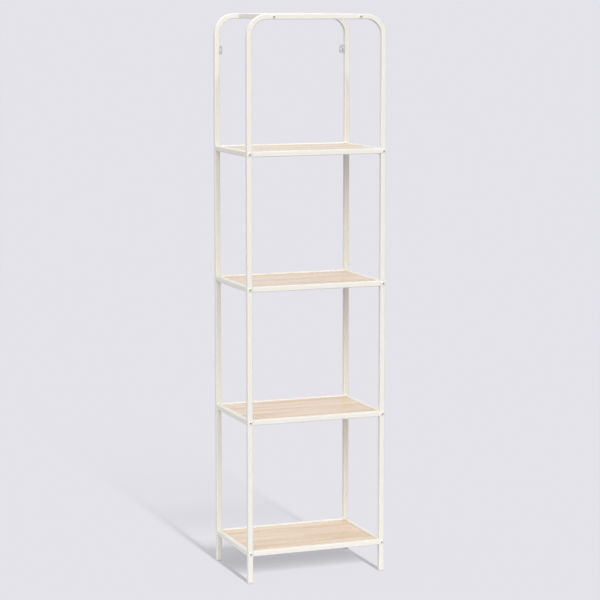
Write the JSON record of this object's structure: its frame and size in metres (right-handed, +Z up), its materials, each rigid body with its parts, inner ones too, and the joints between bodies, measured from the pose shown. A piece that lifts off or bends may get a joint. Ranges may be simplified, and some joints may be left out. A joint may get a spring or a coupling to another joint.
{
  "type": "shelving unit",
  "caption": "Tall open shelving unit: two bent square-tube arches joined by rails and bars, with wood-look boards set into the rails for storage and display.",
  "frame": {"origin": "on the floor, at the centre of the footprint between the four feet", "axes": "+Z up; +X to the right seen from the front; the front, with the bolt heads seen in the picture, faces -Y and the wall brackets are at +Y"},
  "size_m": [0.39, 0.2748, 1.5],
  "materials": {
    "frame_paint": "satin cream powder coat on steel tube",
    "bolt_paint": "cream painted steel bolts with bare dark sockets",
    "board_laminate": "matt light oak printed laminate on wood-based board",
    "foot_plastic": "moulded off-white plastic",
    "zinc_steel": "bright zinc plate"
  },
  "bodies": {
    "root": {"front_arch_tube": "frame_paint", "rear_arch_tube": "frame_paint", "front_rail_1": "frame_paint", "rear_rail_1": "frame_paint", "left_side_rail_1": "frame_paint", "right_side_rail_1": "frame_paint", "front_rail_2": "frame_paint", "rear_rail_2": "frame_paint", "left_side_rail_2": "frame_paint", "right_side_rail_2": "frame_paint", "front_rail_3": "frame_paint", "rear_rail_3": "frame_paint", "left_side_rail_3": "frame_paint", "right_side_rail_3": "frame_paint", "front_rail_4": "frame_paint", "rear_rail_4": "frame_paint", "left_side_rail_4": "frame_paint", "right_side_rail_4": "frame_paint", "left_top_bar": "frame_paint", "right_top_bar": "frame_paint", "shelf_board_1": "board_laminate", "shelf_board_2": "board_laminate", "shelf_board_3": "board_laminate", "shelf_board_4": "board_laminate", "front_left_foot": "foot_plastic", "front_right_foot": "foot_plastic", "rear_left_foot": "foot_plastic", "rear_right_foot": "foot_plastic", "left_wall_bracket": "zinc_steel", "right_wall_bracket": "zinc_steel", "frame_bolts_1": "bolt_paint", "frame_bolts_2": "bolt_paint", "frame_bolts_3": "bolt_paint", "frame_bolts_4": "bolt_paint", "frame_bolts_top": "bolt_paint", "rail_inserts_1": "zinc_steel", "rail_inserts_2": "zinc_steel", "rail_inserts_3": "zinc_steel", "rail_inserts_4": "zinc_steel", "bar_inserts_top": "zinc_steel", "board_tabs_1": "frame_paint", "board_tabs_2": "frame_paint", "board_tabs_3": "frame_paint", "board_tabs_4": "frame_paint"}
  },
  "joints": []
}
